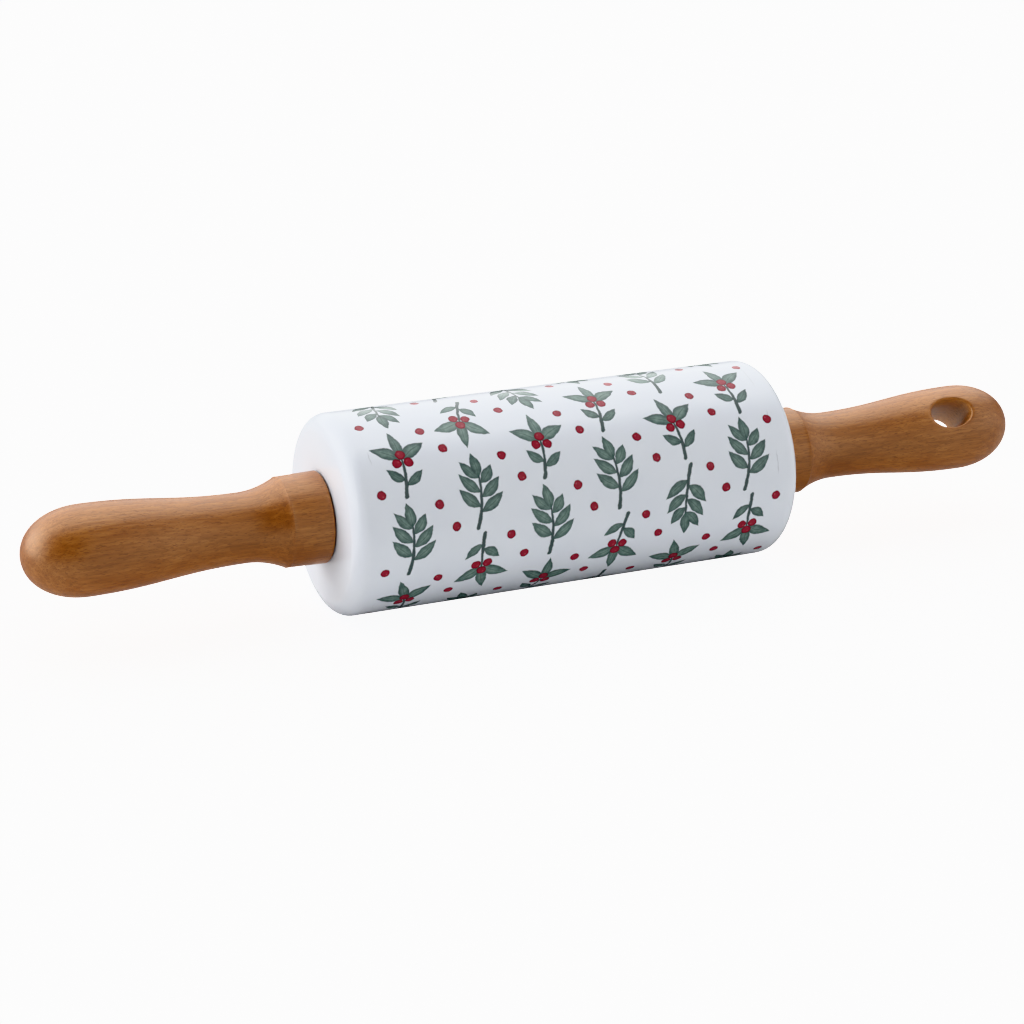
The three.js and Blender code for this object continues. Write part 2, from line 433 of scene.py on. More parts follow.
def painted_berry():
    """The group for one berry: its mask, and a tone that is dark at the rim and light at one spot."""
    group, given, result = start_group(
        "painted_berry", ("Along", "Around", "Centre Along", "Centre Around", "Radius"), ("Mask", "Tone"))
    across = calc(group, "SUBTRACT", given["Along"], given["Centre Along"])
    upward = calc(group, "SUBTRACT", given["Around"], given["Centre Around"])
    inside = calc(group, "SUBTRACT", given["Radius"], apart(group, across, upward))
    body = calc(group, "MULTIPLY", calc(group, "DIVIDE", inside, berry_rim, clamp=True), berry_body)
    spot_across = calc(group, "ADD", across, shine_offset)
    spot_upward = calc(group, "SUBTRACT", upward, shine_offset)
    in_spot = calc(group, "SUBTRACT", shine_radius, apart(group, spot_across, spot_upward))
    shine = calc(group, "DIVIDE", in_spot, shine_softness, clamp=True)
    put(group, result["Mask"], calc(group, "DIVIDE", inside, paint_edge, clamp=True))
    put(group, result["Tone"], calc(group, "MULTIPLY_ADD", shine, 1 - berry_body, body))
    return group


leaf_group = painted_leaf()
stem_group = painted_stem()
berry_group = painted_berry()


def mix(tree, share, under, over):
    """A mix of two colours or sockets."""
    node = tree.nodes.new("ShaderNodeMix")
    node.data_type = "RGBA"
    for socket, value in zip((node.inputs[0], node.inputs[6], node.inputs[7]), (share, under, over)):
        put(tree, socket, (*value, 1) if isinstance(value, tuple) else value)
    return node.outputs[2]


def weigh(tree, first, first_share, second, second_share):
    """The sum of two values, each times its share."""
    return calc(tree, "ADD", calc(tree, "MULTIPLY", first, first_share),
                calc(tree, "MULTIPLY", second, second_share))


def layer(tree, masks_and_tones):
    """Paints layers over each other: returns the joint mask and the top layer's tone at each point."""
    mask, tone = masks_and_tones[0]
    for next_mask, next_tone in masks_and_tones[1:]:
        keep = calc(tree, "SUBTRACT", 1, next_mask)
        tone = weigh(tree, tone, keep, next_tone, next_mask)
        mask = calc(tree, "MAXIMUM", mask, next_mask)
    return mask, tone


def leaf(tree, along, around, base, degrees, length, width, bend=0.0):
    """One painted leaf from its base on the motif, at an angle from the stem."""
    turn = math.radians(degrees)
    leaf_paint = place_group(tree, leaf_group, {
        "Along": along, "Around": around, "Base Along": base[0], "Base Around": base[1],
        "Sine": math.sin(turn), "Cosine": math.cos(turn), "Length": length, "Width": width, "Bend": bend})
    return leaf_paint["Mask"], leaf_paint["Tone"]


def berry(tree, along, around, centre, radius):
    """One painted berry at its place on the motif."""
    berry_paint = place_group(tree, berry_group, {
        "Along": along, "Around": around, "Centre Along": centre[0], "Centre Around": centre[1],
        "Radius": radius})
    return berry_paint["Mask"], berry_paint["Tone"]


def stem(tree, along, around, start, end, width):
    """A painted stem along the motif's middle."""
    values = {"Along": along, "Around": around, "Start": start, "End": end, "Width": width}
    return place_group(tree, stem_group, values)["Mask"]


# The brush wobbles a little, so that no painted edge is quite true.
wobble_size = 1.4
wobble_reach = 0.5
white_glaze, tree, shader = new_material("white_glaze")
place = object_place(tree)
wobble = tree.nodes.new("ShaderNodeTexNoise")
put(tree, wobble.inputs["Vector"], place)
wobble.inputs["Scale"].default_value = 1 / (wobble_size * millimetre)
wobble_parts = tree.nodes.new("ShaderNodeSeparateColor")
put(tree, wobble_parts.inputs["Color"], wobble.outputs["Color"])
split = tree.nodes.new("ShaderNodeSeparateXYZ")
put(tree, split.inputs["Vector"], place)
true_along = calc(tree, "DIVIDE", split.outputs["X"], millimetre)
height = calc(tree, "SUBTRACT", split.outputs["Z"], pin_height)
angle = calc(tree, "ARCTAN2", split.outputs["Y"], height)
true_around = calc(tree, "MULTIPLY", angle, barrel_radius / millimetre)
wobble_along = calc(tree, "MULTIPLY_ADD", wobble_parts.outputs["Red"], wobble_reach, -wobble_reach / 2)
wobble_around = calc(tree, "MULTIPLY_ADD", wobble_parts.outputs["Green"], wobble_reach, -wobble_reach / 2)
along = calc(tree, "ADD", true_along, wobble_along)
around = calc(tree, "ADD", true_around, wobble_around)

# The brick repeat: six rings of eight motifs, every other ring turned by half a motif.
motif_width = math.tau * barrel_radius / millimetre / motifs_round
ring = calc(tree, "FLOOR", calc(tree, "DIVIDE", true_along, ring_pitch))
ring_middle = calc(tree, "MULTIPLY", calc(tree, "ADD", ring, 0.5), ring_pitch)
shift = calc(tree, "MULTIPLY", calc(tree, "FLOORED_MODULO", ring, 2), motif_width / 2)
step = calc(tree, "FLOOR", calc(tree, "DIVIDE", calc(tree, "ADD", true_around, shift), motif_width))
step_middle = calc(tree, "MULTIPLY", calc(tree, "ADD", step, 0.5), motif_width)
motif_middle = calc(tree, "SUBTRACT", step_middle, shift)
motif_number = calc(tree, "FLOORED_MODULO", step, motifs_round)
printed = calc(tree, "LESS_THAN", calc(tree, "ABSOLUTE", ring_middle), print_reach)
is_spray = calc(tree, "FLOORED_MODULO", motif_number, 2)
is_sprig = calc(tree, "SUBTRACT", 1, is_spray)

# Each motif leans a little, and about half are turned upside down, so that no two rings look alike.
# A motif's stem is bowed, and the two leaves of a pair leave it at different places.
lean_range = 0.44
stem_bow = 0.014
pair_stagger = 0.55
cell = tree.nodes.new("ShaderNodeCombineXYZ")
put(tree, cell.inputs["X"], motif_number)
put(tree, cell.inputs["Y"], ring)
chance = tree.nodes.new("ShaderNodeTexWhiteNoise")
chance.noise_dimensions = "2D"
put(tree, chance.inputs["Vector"], cell.outputs["Vector"])
chances = tree.nodes.new("ShaderNodeSeparateColor")
put(tree, chances.inputs["Color"], chance.outputs["Color"])
local = tree.nodes.new("ShaderNodeCombineXYZ")
put(tree, local.inputs["X"], calc(tree, "SUBTRACT", along, ring_middle))
put(tree, local.inputs["Y"], calc(tree, "SUBTRACT", around, motif_middle))
flip = calc(tree, "MULTIPLY", calc(tree, "GREATER_THAN", chances.outputs["Red"], 0.5), math.pi)
turned = tree.nodes.new("ShaderNodeVectorRotate")
turned.rotation_type = "Z_AXIS"
put(tree, turned.inputs["Vector"], local.outputs["Vector"])
lean = calc(tree, "MULTIPLY_ADD", chances.outputs["Green"], lean_range, -lean_range / 2)
put(tree, turned.inputs["Angle"], calc(tree, "ADD", flip, lean))
motif = tree.nodes.new("ShaderNodeSeparateXYZ")
put(tree, motif.inputs["Vector"], turned.outputs["Vector"])
motif_around = motif.outputs["Y"]
bow = calc(tree, "MULTIPLY", calc(tree, "MULTIPLY", motif_around, motif_around), stem_bow)
motif_along = calc(tree, "ADD", motif.outputs["X"], bow)
mirrored = calc(tree, "ABSOLUTE", motif_along)
staggered = calc(tree, "MULTIPLY_ADD", calc(tree, "SIGN", motif_along), pair_stagger, motif_around)

# Sprig: a stem with three pairs of leaves and one at its tip.
sprig_mask, sprig_tone = layer(tree, [
    leaf(tree, mirrored, staggered, base=(0.1, -4.2), degrees=50, length=6.7, width=2.8, bend=0.35),
    leaf(tree, mirrored, staggered, base=(0.1, -1.0), degrees=46, length=6.5, width=2.8, bend=0.35),
    leaf(tree, mirrored, staggered, base=(0.1, 2.1), degrees=40, length=5.5, width=2.6, bend=0.3),
    leaf(tree, motif_along, motif_around, base=(0, 2.9), degrees=0, length=5.9, width=2.7),
])
sprig_stem = stem(tree, motif_along, motif_around, start=-8.3, end=3.8, width=1.15)

# Spray: a slim leaf between two broad ones round three berries, and a small pair lower down.
spray_mask, spray_tone = layer(tree, [
    leaf(tree, mirrored, staggered, base=(0.1, -5.2), degrees=52, length=5.2, width=2.4, bend=0.3),
    leaf(tree, motif_along, motif_around, base=(0, 0.3), degrees=0, length=8.0, width=2.7),
    leaf(tree, mirrored, motif_around, base=(0.2, 0.2), degrees=60, length=7.3, width=3.2, bend=-0.5),
])
spray_stem = stem(tree, motif_along, motif_around, start=-8.2, end=1.2, width=1.15)
cluster_mask, cluster_tone = layer(tree, [
    berry(tree, mirrored, motif_around, centre=(1.35, -0.5), radius=1.2),
    berry(tree, motif_along, motif_around, centre=(0, 1.5), radius=1.25),
])

# Loose berries: two beside each motif, at opposite corners.
corner_along = calc(tree, "SUBTRACT", along, ring_middle)
corner_around = calc(tree, "SUBTRACT", around, motif_middle)
swap = calc(tree, "SIGN", corner_along)
loose_along = calc(tree, "MULTIPLY", corner_along, swap)
loose_around = calc(tree, "MULTIPLY", corner_around, swap)
loose_mask, loose_tone = berry(tree, loose_along, loose_around, centre=(6.5, 7.2), radius=1.15)

# What shows of each motif, by the cell that a place lies in.
sprig_here = calc(tree, "MULTIPLY", is_sprig, printed)
spray_here = calc(tree, "MULTIPLY", is_spray, printed)
leaf_mask = weigh(tree, sprig_mask, sprig_here, spray_mask, spray_here)
leaf_tone = weigh(tree, sprig_tone, is_sprig, spray_tone, is_spray)
stem_mask = weigh(tree, sprig_stem, sprig_here, spray_stem, spray_here)
berry_mask, berry_tone = layer(tree, [
    (calc(tree, "MULTIPLY", loose_mask, printed), loose_tone),
    (calc(tree, "MULTIPLY", cluster_mask, spray_here), cluster_tone),
])

# The paint: a watery wash that varies in the leaves, on a glaze that is hardly mottled.
wash_size = 1.1
wash_range = 0.9
wash_on_berry = 0.4
leaf_shading = 0.65
tint_range = 0.2
tint_low = -0.08
stem_cover = 0.95
leaf_cover = 0.96
glaze_mottle_size = 14
wash_noise = noise(tree, place, wash_size * millimetre, detail=3)
wash = calc(tree, "MULTIPLY_ADD", wash_noise, wash_range, -wash_range / 2)
tint = calc(tree, "MULTIPLY_ADD", chances.outputs["Blue"], tint_range, tint_low)
leaf_shade = calc(tree, "ADD", calc(tree, "MULTIPLY_ADD", leaf_tone, leaf_shading, tint), wash)
leaf_colour = ramp(tree, leaf_shade, (0.0, leaf_dark), (0.35, leaf_middle), (1.0, leaf_light))
berry_shade = calc(tree, "MULTIPLY_ADD", wash, wash_on_berry, berry_tone)
berry_colour = ramp(tree, berry_shade, (0.0, berry_dark), (0.45, berry_red), (1.0, berry_shine))
mottle = noise(tree, place, glaze_mottle_size * millimetre)
glaze_colour = ramp(tree, mottle, (0.35, glaze_shadow), (0.65, glaze_white))

# The transfer's edge: a thin grey line near each end of the barrel, mostly worn away.
edge_place = 48.6
edge_half_width = 0.16
edge_softness = 0.12
edge_cover = 0.45
wear_size = 9
wear_start = 0.56
wear_softness = 0.08
from_middle = calc(tree, "ABSOLUTE", along)
edge_distance = calc(tree, "ABSOLUTE", calc(tree, "SUBTRACT", from_middle, edge_place))
in_edge = calc(tree, "SUBTRACT", edge_half_width, edge_distance)
edge_line = calc(tree, "DIVIDE", in_edge, edge_softness, clamp=True)
wear = calc(tree, "SUBTRACT", noise(tree, place, wear_size * millimetre), wear_start)
edge_left = calc(tree, "DIVIDE", wear, wear_softness, clamp=True)
edge_mask = calc(tree, "MULTIPLY", calc(tree, "MULTIPLY", edge_line, edge_left), edge_cover)
colour = mix(tree, edge_mask, glaze_colour, edge_grey)
colour = mix(tree, calc(tree, "MULTIPLY", stem_mask, stem_cover), colour, stem_green)
colour = mix(tree, calc(tree, "MULTIPLY", leaf_mask, leaf_cover), colour, leaf_colour)
colour = mix(tree, berry_mask, colour, berry_colour)
put(tree, shader.inputs["Base Color"], colour)

# The glaze is glossy, with the faint unevenness of a fired surface.
gloss_size = 6
glaze_smooth = 0.06
glaze_rough = 0.14
glaze_wave_strength = 0.12
glaze_wave = 0.06
gloss = noise(tree, place, gloss_size * millimetre, detail=3)
glaze_roughness = calc(tree, "MULTIPLY_ADD", gloss, glaze_rough - glaze_smooth, glaze_smooth)
put(tree, shader.inputs["Roughness"], glaze_roughness)
put(tree, shader.inputs["Normal"], bump(tree, gloss, glaze_wave_strength, glaze_wave * millimetre))
fit_piece(barrel, "roller_barrel", "roller", white_glaze)

# Washers: two thin dark fibre rings between the bushes and the handles.
# They keep the handles off the ceramic, and show only as the dark line beside each collar.
washer_chamfer = 0.00015
# Their near-black colour is partly the fibre's own and partly painted shade for the shadow in the gap
# beside each collar.
dark_fibre_and_gap_shade = marked_finish("dark_fibre_and_gap_shade", dark=(0.02, 0.016, 0.014), light=(0.045, 0.036, 0.03),
                           smooth=0.6, rough=0.85, ring_size=0.002, mottle_size=0.0014, metallic=0)
for side, name in ((-1, "left_washer"), (1, "right_washer")):
    washer_start, washer_end, washer_radius = end_box(name)
    outline = [
        (washer_start, bore_radius),
        (washer_start, washer_radius - washer_chamfer),
        (washer_start + washer_chamfer, washer_radius),
        (washer_end - washer_chamfer, washer_radius),
        (washer_end, washer_radius - washer_chamfer),
        (washer_end, bore_radius),
        (washer_start, bore_radius),
    ]
    washer = turn_on_lathe(name + "_punched", to_side(side, outline), ring_sides)
    fit_piece(washer, name, "handles", dark_fibre_and_gap_shade)

# Inserts: two flanged brass inserts with a coarse outer thread.
# They are screwed into the handles from the collar end, and the axle's threads run in their bores.
insert_flange = 0.0012
insert_wall = 0.0018
insert_pitch = 0.002
insert_thread_depth = 0.0006
insert_chamfer = 0.0003
insert_step = 0.00025
rod_hole_radius = thread_radius + seat_clearance
insert_radius = rod_hole_radius + insert_wall
turned_brass = marked_finish("turned_brass", dark=(0.62, 0.43, 0.15), light=(0.76, 0.56, 0.23),
                             smooth=0.2, rough=0.4, ring_size=0.00025, mottle_size=0.008, metallic=1)
for side, name in ((-1, "left_insert"), (1, "right_insert")):
    insert_start, insert_end, insert_flange_radius = end_box(name)
    flange_end = insert_start + insert_flange
    thread_start = flange_end + insert_chamfer
    thread_end = insert_end - insert_chamfer
    outline = [
        (insert_start, rod_hole_radius),
        (insert_start, insert_flange_radius - insert_chamfer),
        (insert_start + insert_chamfer, insert_flange_radius),
        (flange_end, insert_flange_radius),
        (flange_end, insert_radius),
        *spaced(thread_start, thread_end, insert_step, insert_radius),
        (insert_end, insert_radius - insert_chamfer),
        (insert_end, rod_hole_radius),
        (insert_start, rod_hole_radius),
    ]
    insert = turn_on_lathe(name + "_threaded", to_side(side, outline), rod_sides)
    cut_thread(insert, side * thread_start, side * thread_end, insert_radius, insert_pitch,
               insert_thread_depth)
    fit_piece(insert, name, "handles", turned_brass)

# Handles: two beech handles turned on a lathe, sanded and oiled to a satin sheen.
# Each has a stepped blind hole for its insert. The right one is drilled through its palm for hanging,
# and the rims of that hole are eased by hand.
handle_low, handle_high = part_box("right_handle")
collar_face = handle_low.x
handle_length = handle_high.x - handle_low.x
collar_length = 0.0093
collar_end_radius = (handle_high.z - handle_low.z) / 2
collar_ridge_radius = 0.01025
collar_edge = 0.0003
ridge_softness = 0.0001
ridge_reach = 0.0003
ridge_step = 0.00006
ridge_bead = 0.00007
waist_radius = 0.00795
waist_place = 0.0185
palm_radius = 0.0102
palm_place = 0.054
swell_ease = 0.44
nose_fullness = 2.1
insert_length = insert_end - insert_start
rod_hole_depth = 0.024
handle_sides = 160
handle_step = 0.0006
collar_edge_steps = 6
nose_steps = 26
halvings = 40


def soft_least(first, second, softness):
    """The smaller of two values, rounded over where they meet."""
    overlap = max(softness - abs(first - second), 0) / softness
    return min(first, second) - overlap * overlap * softness / 4


def handle_radius(place):
    """The handle's radius at a distance from its collar face: collar, flare, swell and nose."""
    if place <= waist_place:
        collar = collar_end_radius + (collar_ridge_radius - collar_end_radius) * place / collar_length
        rest = (waist_place - place) / (waist_place - collar_length)
        flare = waist_radius + (collar_ridge_radius - waist_radius) * rest * rest
        bead = ridge_bead * max(0, 1 - abs(place - collar_length) / ridge_reach)
        return soft_least(collar, flare, ridge_softness) + bead
    share = min(1, (place - waist_place) / (palm_place - waist_place))
    low, high = 0.0, 1.0
    for _ in range(halvings):
        middle = (low + high) / 2
        eased = 3 * middle * (1 - middle) * ((1 - middle) * swell_ease + middle * (1 - swell_ease))
        low, high = (middle, high) if eased + middle ** 3 < share else (low, middle)
    swell = waist_radius + (palm_radius - waist_radius) * low * low * (3 - 2 * low)
    nose = min(1, max(0, (place - palm_place) / (handle_length - palm_place)))
    return swell * (1 - nose ** nose_fullness) ** (1 / nose_fullness)


def handle_outline():
    """Half the handle's section, from the end of its blind hole round the collar to its tip."""
    insert_hole = insert_radius + seat_clearance
    flange_hole = insert_flange_radius + seat_clearance
    points = [
        (rod_hole_depth, 0),
        (rod_hole_depth, rod_hole_radius),
        (insert_length + seat_clearance, rod_hole_radius),
        (insert_length + seat_clearance, insert_hole),
        (insert_flange + seat_clearance, insert_hole),
        (insert_flange + seat_clearance, flange_hole),
        (0, flange_hole),
        *arc(collar_edge, collar_end_radius - collar_edge, collar_edge, 180, 90, collar_edge_steps)[:-1],
    ]
    places = [
        *spaced(collar_edge, collar_length - ridge_reach, handle_step, 0),
        *spaced(collar_length - ridge_reach, collar_length + ridge_reach, ridge_step, 0)[1:],
        *spaced(collar_length + ridge_reach, palm_place, handle_step, 0)[1:],
    ]
    points += [(place, handle_radius(place)) for place, _ in places]
    for step in range(1, nose_steps):
        turn = math.pi / 2 * step / nose_steps
        place = palm_place + math.sin(turn) ** (2 / nose_fullness) * (handle_length - palm_place)
        points.append((place, handle_radius(place)))
    points.append((handle_length, 0))
    return points


handles = {}
for side, name in ((-1, "left_handle"), (1, "right_handle")):
    outline = [(collar_face + along, radius) for along, radius in handle_outline()]
    handles[name] = turn_on_lathe(name + "_turned", to_side(side, outline), handle_sides)

# The hanging hole: an oval drill at the CAD hole's place, then both rims rounded over.
# A bore joins them.
hole_mount = next(mount for mount in frame["record"]["mounts"] if mount["name"] == "hanging_hole")
hole_centre = Vector(hole_mount["pos_m"])
hole_out = Vector(hole_mount["axis"]).normalized()
pin_axis = Vector((1, 0, 0))
hole_long = (pin_axis - hole_out * pin_axis.dot(hole_out)).normalized()
hole_side = hole_out.cross(hole_long)
hole_half_sizes = Vector((0.00525, 0.00375))
rim_round = Vector((0.0011, 0.0005))
rim_depth = 0.0009
rim_steps = 6
hole_sides = 96
drill_length = 0.06
oval_tolerance = 0.002
wall_lean = 0.2


def hole_point(turn, half_sizes, facing):
    """The point of the handle's surface above an oval's point, on the near or the far side."""
    long_arm = hole_long * half_sizes.x * math.cos(turn)
    side_arm = hole_side * half_sizes.y * math.sin(turn)
    foot = hole_centre + long_arm + side_arm
    inside, outside = 0.0, drill_length / 2
    for _ in range(halvings):
        reach = (inside + outside) / 2
        spot = foot + hole_out * reach * facing
        radius = handle_radius(spot.x - collar_face) if spot.x < handle_high.x else 0
        within = math.hypot(spot.y, spot.z - pin_height) < radius
        inside, outside = (reach, outside) if within else (inside, reach)
    return foot + hole_out * inside * facing


def oval_place(point, half_sizes):
    """How far out a point lies on an oval about the hole's axis (1 on the oval), and its angle there."""
    arm = point - hole_centre
    long_share = arm.dot(hole_long) / half_sizes.x
    side_share = arm.dot(hole_side) / half_sizes.y
    return math.hypot(long_share, side_share), math.atan2(side_share, long_share)


handle = handles["right_handle"]
rim_half_sizes = hole_half_sizes + rim_round
bpy.ops.object.select_all(action="DESELECT")
bpy.ops.mesh.primitive_cylinder_add(vertices=hole_sides, radius=1, depth=drill_length)
drill = bpy.context.object
bpy.ops.object.mode_set(mode="EDIT")
bpy.ops.mesh.select_all(action="SELECT")
bpy.ops.transform.resize(value=(rim_half_sizes.x, rim_half_sizes.y, 1))
bpy.ops.object.mode_set(mode="OBJECT")
drill_turn = Matrix((hole_long, hole_side, hole_out)).transposed().to_4x4()
drill.matrix_world = Matrix.Translation(hole_centre) @ drill_turn
bpy.ops.object.transform_apply(location=True, rotation=True, scale=True)
bpy.context.view_layer.objects.active = handle
cut = handle.modifiers.new("hanging_hole", "BOOLEAN")
cut.operation = "DIFFERENCE"
cut.solver = "EXACT"
cut.object = drill
bpy.ops.object.modifier_apply(modifier=cut.name)
bpy.data.objects.remove(drill)

bpy.ops.object.select_all(action="DESELECT")
handle.select_set(True)
bpy.ops.object.mode_set(mode="EDIT")
bpy.ops.mesh.select_all(action="DESELECT")
mesh = bmesh.from_edit_mesh(handle.data)
for face in mesh.faces:
    misses = [abs(oval_place(point.co, rim_half_sizes)[0] - 1) for point in face.verts]
    on_wall = abs(face.normal.dot(hole_out)) < wall_lean
    face.select_set(on_wall and max(misses) < oval_tolerance)
bmesh.update_edit_mesh(handle.data)
bpy.ops.mesh.delete(type="FACE")
last_half_sizes = rim_half_sizes
for step in range(1, rim_steps + 1):
    share = step / rim_steps
    mesh = bmesh.from_edit_mesh(handle.data)
    for edge in mesh.edges:
        edge.select_set(edge.is_boundary)
    bmesh.update_edit_mesh(handle.data)
    bpy.ops.mesh.extrude_edges_move(TRANSFORM_OT_translate={"value": (0, 0, 0)})
    mesh = bmesh.from_edit_mesh(handle.data)
    for point in mesh.verts:
        if not point.select:
            continue
        turn = oval_place(point.co, last_half_sizes)[1]
        facing = math.copysign(1, (point.co - hole_centre).dot(hole_out))
        start = hole_point(turn, rim_half_sizes, facing)
        corner = hole_point(turn, hole_half_sizes, facing)
        end = corner - hole_out * facing * rim_depth
        point.co = start * (1 - share) ** 2 + corner * 2 * share * (1 - share) + end * share ** 2
    bmesh.update_edit_mesh(handle.data)
    last_half_sizes = rim_half_sizes * (1 - share) ** 2 + hole_half_sizes * (1 - (1 - share) ** 2)
mesh = bmesh.from_edit_mesh(handle.data)
bmesh.ops.bridge_loops(mesh, edges=[edge for edge in mesh.edges if edge.is_boundary])
bmesh.update_edit_mesh(handle.data)
bpy.ops.mesh.select_all(action="SELECT")
bpy.ops.mesh.normals_make_consistent(inside=False)
bpy.ops.object.mode_set(mode="OBJECT")
bpy.ops.object.shade_smooth_by_angle(angle=smooth_angle)

# Beech: growth rings about a pith outside the handle, fine streaks along it and short dark flecks.
# Oil darkens it all over, but hardly reaches the wall of the hanging hole.
# That wall is paler: partly bare wood, and partly painted light that lifts the hole's dim inside.
beech_dark = (0.2, 0.043, 0.0075)
beech_middle = (0.315, 0.094, 0.0205)
beech_light = (0.47, 0.185, 0.054)
bare_beech_and_painted_light = (0.56, 0.27, 0.1)
oil_warmth = (1, 0.77, 0.53, 1)
pith_side = 0.021
pith_height = 0.034
ring_width = 0.0026
ring_wander = 2
ring_sharpness = 3
fleck_start = 0.58
fleck_softness = 0.08
band_share = 0.5
streak_share = 0.8
ring_share = -0.12
fleck_share = -0.44
pale_streak_gain = 1.6
pale_wall_edge = 1.05
pale_wall_softness = 0.04
oil_smooth = 0.25
oil_range = 0.2
fleck_depth = -0.6
grain_strength = 0.25
grain_depth = 0.00012


def grain(tree, vector, times, width, detail=2):
    """A noise of marks of this width that run along the pin, so many times longer than they are wide."""
    node = tree.nodes.new("ShaderNodeMapping")
    put(tree, node.inputs["Vector"], vector)
    node.inputs["Scale"].default_value = (1 / times, 1, 1)
    return noise(tree, node.outputs["Vector"], width, detail)


oiled_beech, tree, shader = new_material("oiled_beech")
place = object_place(tree)
bands = grain(tree, place, times=3, width=0.009)
streaks = grain(tree, place, times=14, width=0.0006, detail=4)
specks = grain(tree, place, times=9, width=0.00018, detail=1)
wander = grain(tree, place, times=5, width=0.012)
flecks = calc(tree, "DIVIDE", calc(tree, "SUBTRACT", specks, fleck_start), fleck_softness, clamp=True)
split = tree.nodes.new("ShaderNodeSeparateXYZ")
put(tree, split.inputs["Vector"], place)
from_side = calc(tree, "SUBTRACT", split.outputs["Y"], pith_side)
from_top = calc(tree, "SUBTRACT", split.outputs["Z"], pith_height)
ring_count = calc(tree, "DIVIDE", apart(tree, from_side, from_top), ring_width)
ring_place = calc(tree, "MULTIPLY_ADD", wander, ring_wander, ring_count)
rings = calc(tree, "POWER", calc(tree, "FRACT", ring_place), ring_sharpness)
tone = calc(tree, "MULTIPLY", bands, band_share)
tone = calc(tree, "MULTIPLY_ADD", streaks, streak_share, tone)
tone = calc(tree, "MULTIPLY_ADD", rings, ring_share, tone)
tone = calc(tree, "MULTIPLY_ADD", flecks, fleck_share, tone)
oiled_colour = ramp(tree, tone, (0.3, beech_dark), (0.58, beech_middle), (0.9, beech_light))
# The hanging hole's wall is paler: partly bare wood, and partly painted light that brightens it.
pale_streak_share = calc(tree, "MULTIPLY", streaks, pale_streak_gain, clamp=True)
bare_and_painted_light_colour = mix(tree, pale_streak_share, oiled_colour, bare_beech_and_painted_light)
in_hole = tree.nodes.new("ShaderNodeMapping")
in_hole.vector_type = "TEXTURE"
put(tree, in_hole.inputs["Vector"], place)
in_hole.inputs["Location"].default_value = hole_centre
in_hole.inputs["Rotation"].default_value = drill_turn.to_euler()
in_hole.inputs["Scale"].default_value = (*hole_half_sizes, 1)
hole_split = tree.nodes.new("ShaderNodeSeparateXYZ")
put(tree, hole_split.inputs["Vector"], in_hole.outputs["Vector"])
from_hole = apart(tree, hole_split.outputs["X"], hole_split.outputs["Y"])
bare_and_painted_light_mask = calc(tree, "DIVIDE", calc(tree, "SUBTRACT", pale_wall_edge, from_hole), pale_wall_softness, clamp=True)
put(tree, shader.inputs["Base Color"], mix(tree, bare_and_painted_light_mask, oiled_colour, bare_and_painted_light_colour))
put(tree, shader.inputs["Roughness"], calc(tree, "MULTIPLY_ADD", streaks, oil_range, oil_smooth))
grain_height = calc(tree, "MULTIPLY_ADD", flecks, fleck_depth, streaks)
put(tree, shader.inputs["Normal"], bump(tree, grain_height, grain_strength, grain_depth))
shader.inputs["Specular IOR Level"].default_value = 1.0
shader.inputs["Specular Tint"].default_value = oil_warmth
shader.inputs["IOR"].default_value = 1.8
for name, handle in handles.items():
    fit_piece(handle, name, "handles", oiled_beech)

# Floor: a plain pale sheet under the pin, wide enough to fill the view.
# It glows for the camera alone, as a lit table does, so that it looks white and its shadows stay faint,
# and it is darker in reflections, as a table with an edge is.
floor_size = 12
floor_dark = (0.91, 0.91, 0.91)
floor_light = (0.94, 0.94, 0.94)
floor_mirrored = (0.45, 0.45, 0.45)
floor_glow = 1.7
cloud_size = 0.4
bpy.ops.object.select_all(action="DESELECT")
bpy.ops.mesh.primitive_plane_add(size=floor_size)
floor = bpy.context.object
floor.name = "floor"
pale_sheet, tree, shader = new_material("pale_sheet")
clouds = noise(tree, object_place(tree), cloud_size)
sheet_colour = ramp(tree, clouds, (0.3, floor_dark), (0.7, floor_light))
light_path = tree.nodes.new("ShaderNodeLightPath").outputs
sheet_seen = mix(tree, light_path["Is Glossy Ray"], sheet_colour, floor_mirrored)
glow_seen = calc(tree, "MULTIPLY", light_path["Is Camera Ray"], floor_glow)
put(tree, shader.inputs["Base Color"], sheet_seen)
put(tree, shader.inputs["Emission Strength"], glow_seen)
shader.inputs["Emission Color"].default_value = (1, 1, 1, 1)
shader.inputs["Roughness"].default_value = 0.9
shader.inputs["Specular IOR Level"].default_value = 0.1
floor.data.materials.append(pale_sheet)

# Studio light: a dim room with three wide soft panels, behind and above the pin, at its left and,
# weaker, at its right. The back panel fades out towards the floor, and the camera sees the room as white.
room_dim = 0.02
horizon_fade = 0.25
room_seen = 2.7
back_panel = 1.92
left_panel = 2.7
right_panel = 0.95


def soft_panel(tree, direction, azimuth, elevation, edge, core):
    """A round panel: 1 within its core and 0 beyond its edge, both cosines of the angle from its middle.

    Its azimuth in degrees is 0 at the front and grows towards the pin's right.
    """
    turn = math.radians(azimuth)
    rise = math.radians(elevation)
    towards = tree.nodes.new("ShaderNodeVectorMath")
    towards.operation = "DOT_PRODUCT"
    put(tree, towards.inputs[0], direction)
    aside = math.sin(turn) * math.cos(rise)
    behind = -math.cos(turn) * math.cos(rise)
    towards.inputs[1].default_value = (aside, behind, math.sin(rise))
    nearness = calc(tree, "SUBTRACT", towards.outputs["Value"], edge)
    return calc(tree, "DIVIDE", nearness, core - edge, clamp=True)


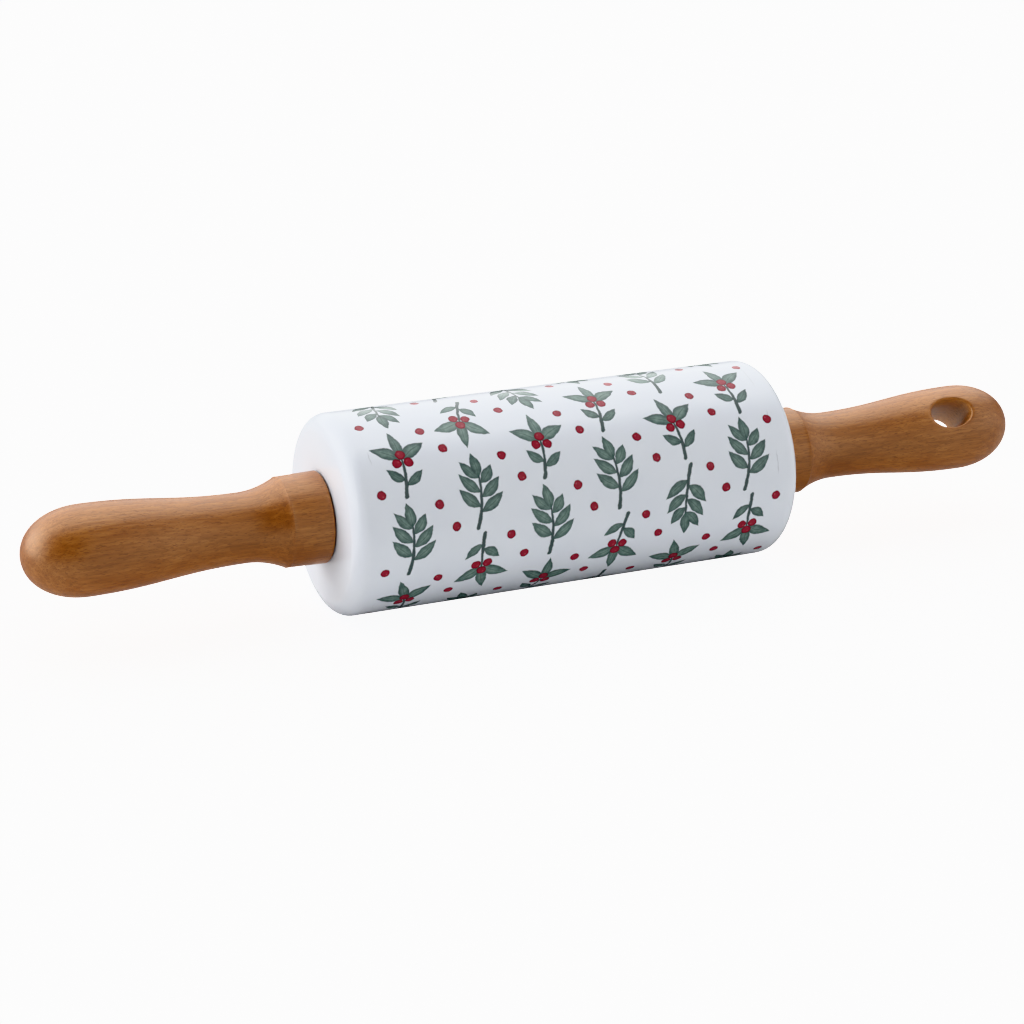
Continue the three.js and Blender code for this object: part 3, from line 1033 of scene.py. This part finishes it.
world = bpy.data.worlds.new("panel_room")
bpy.context.scene.world = world
world.use_nodes = True
tree = world.node_tree
direction = tree.nodes.new("ShaderNodeTexCoord").outputs["Generated"]
split = tree.nodes.new("ShaderNodeSeparateXYZ")
put(tree, split.inputs["Vector"], direction)
clear_of_floor = calc(tree, "DIVIDE", split.outputs["Z"], horizon_fade, clamp=True)
back_light = soft_panel(tree, direction, azimuth=180, elevation=45, edge=0.4, core=0.75)
left_light = soft_panel(tree, direction, azimuth=255, elevation=12, edge=0.7, core=0.97)
right_light = soft_panel(tree, direction, azimuth=55, elevation=12, edge=0.5, core=0.97)
back_light = calc(tree, "MULTIPLY", back_light, clear_of_floor)
room = calc(tree, "MULTIPLY_ADD", back_light, back_panel, room_dim)
room = calc(tree, "MULTIPLY_ADD", left_light, left_panel, room)
room = calc(tree, "MULTIPLY_ADD", right_light, right_panel, room)
seen = tree.nodes.new("ShaderNodeLightPath").outputs["Is Camera Ray"]
put(tree, tree.nodes["Background"].inputs["Color"], mix(tree, seen, room, (room_seen,) * 3))

# Camera: the photograph's view, from the left and a little above, with a long lens.
# Its lens and its aim off the pin's middle were fitted in the photograph's pixels.
view_azimuth = math.radians(24.243)
view_elevation = math.radians(18.91)
view_distance = 0.6591
lens_pixels = 2859.5
frame_pixels = 1024
middle_right_pixels = 32.72
middle_up_pixels = 27.42
middle = Vector((0, 0, pin_height))
look = Vector((math.sin(view_azimuth) * math.cos(view_elevation),
               math.cos(view_azimuth) * math.cos(view_elevation), -math.sin(view_elevation)))
right = Vector((math.cos(view_azimuth), -math.sin(view_azimuth), 0))
up = right.cross(look)
aim = middle - (right * middle_right_pixels + up * middle_up_pixels) * view_distance / lens_pixels
lens = bpy.data.cameras.new("camera")
lens.sensor_width = 36
lens.lens = lens.sensor_width * lens_pixels / frame_pixels
camera = bpy.data.objects.new("camera", lens)
camera.location = middle - look * view_distance
camera.rotation_euler = (aim - camera.location).to_track_quat("-Z", "Y").to_euler()
bpy.context.collection.objects.link(camera)
bpy.context.scene.camera = camera
bpy.context.scene.view_settings.view_transform = "Khronos PBR Neutral"
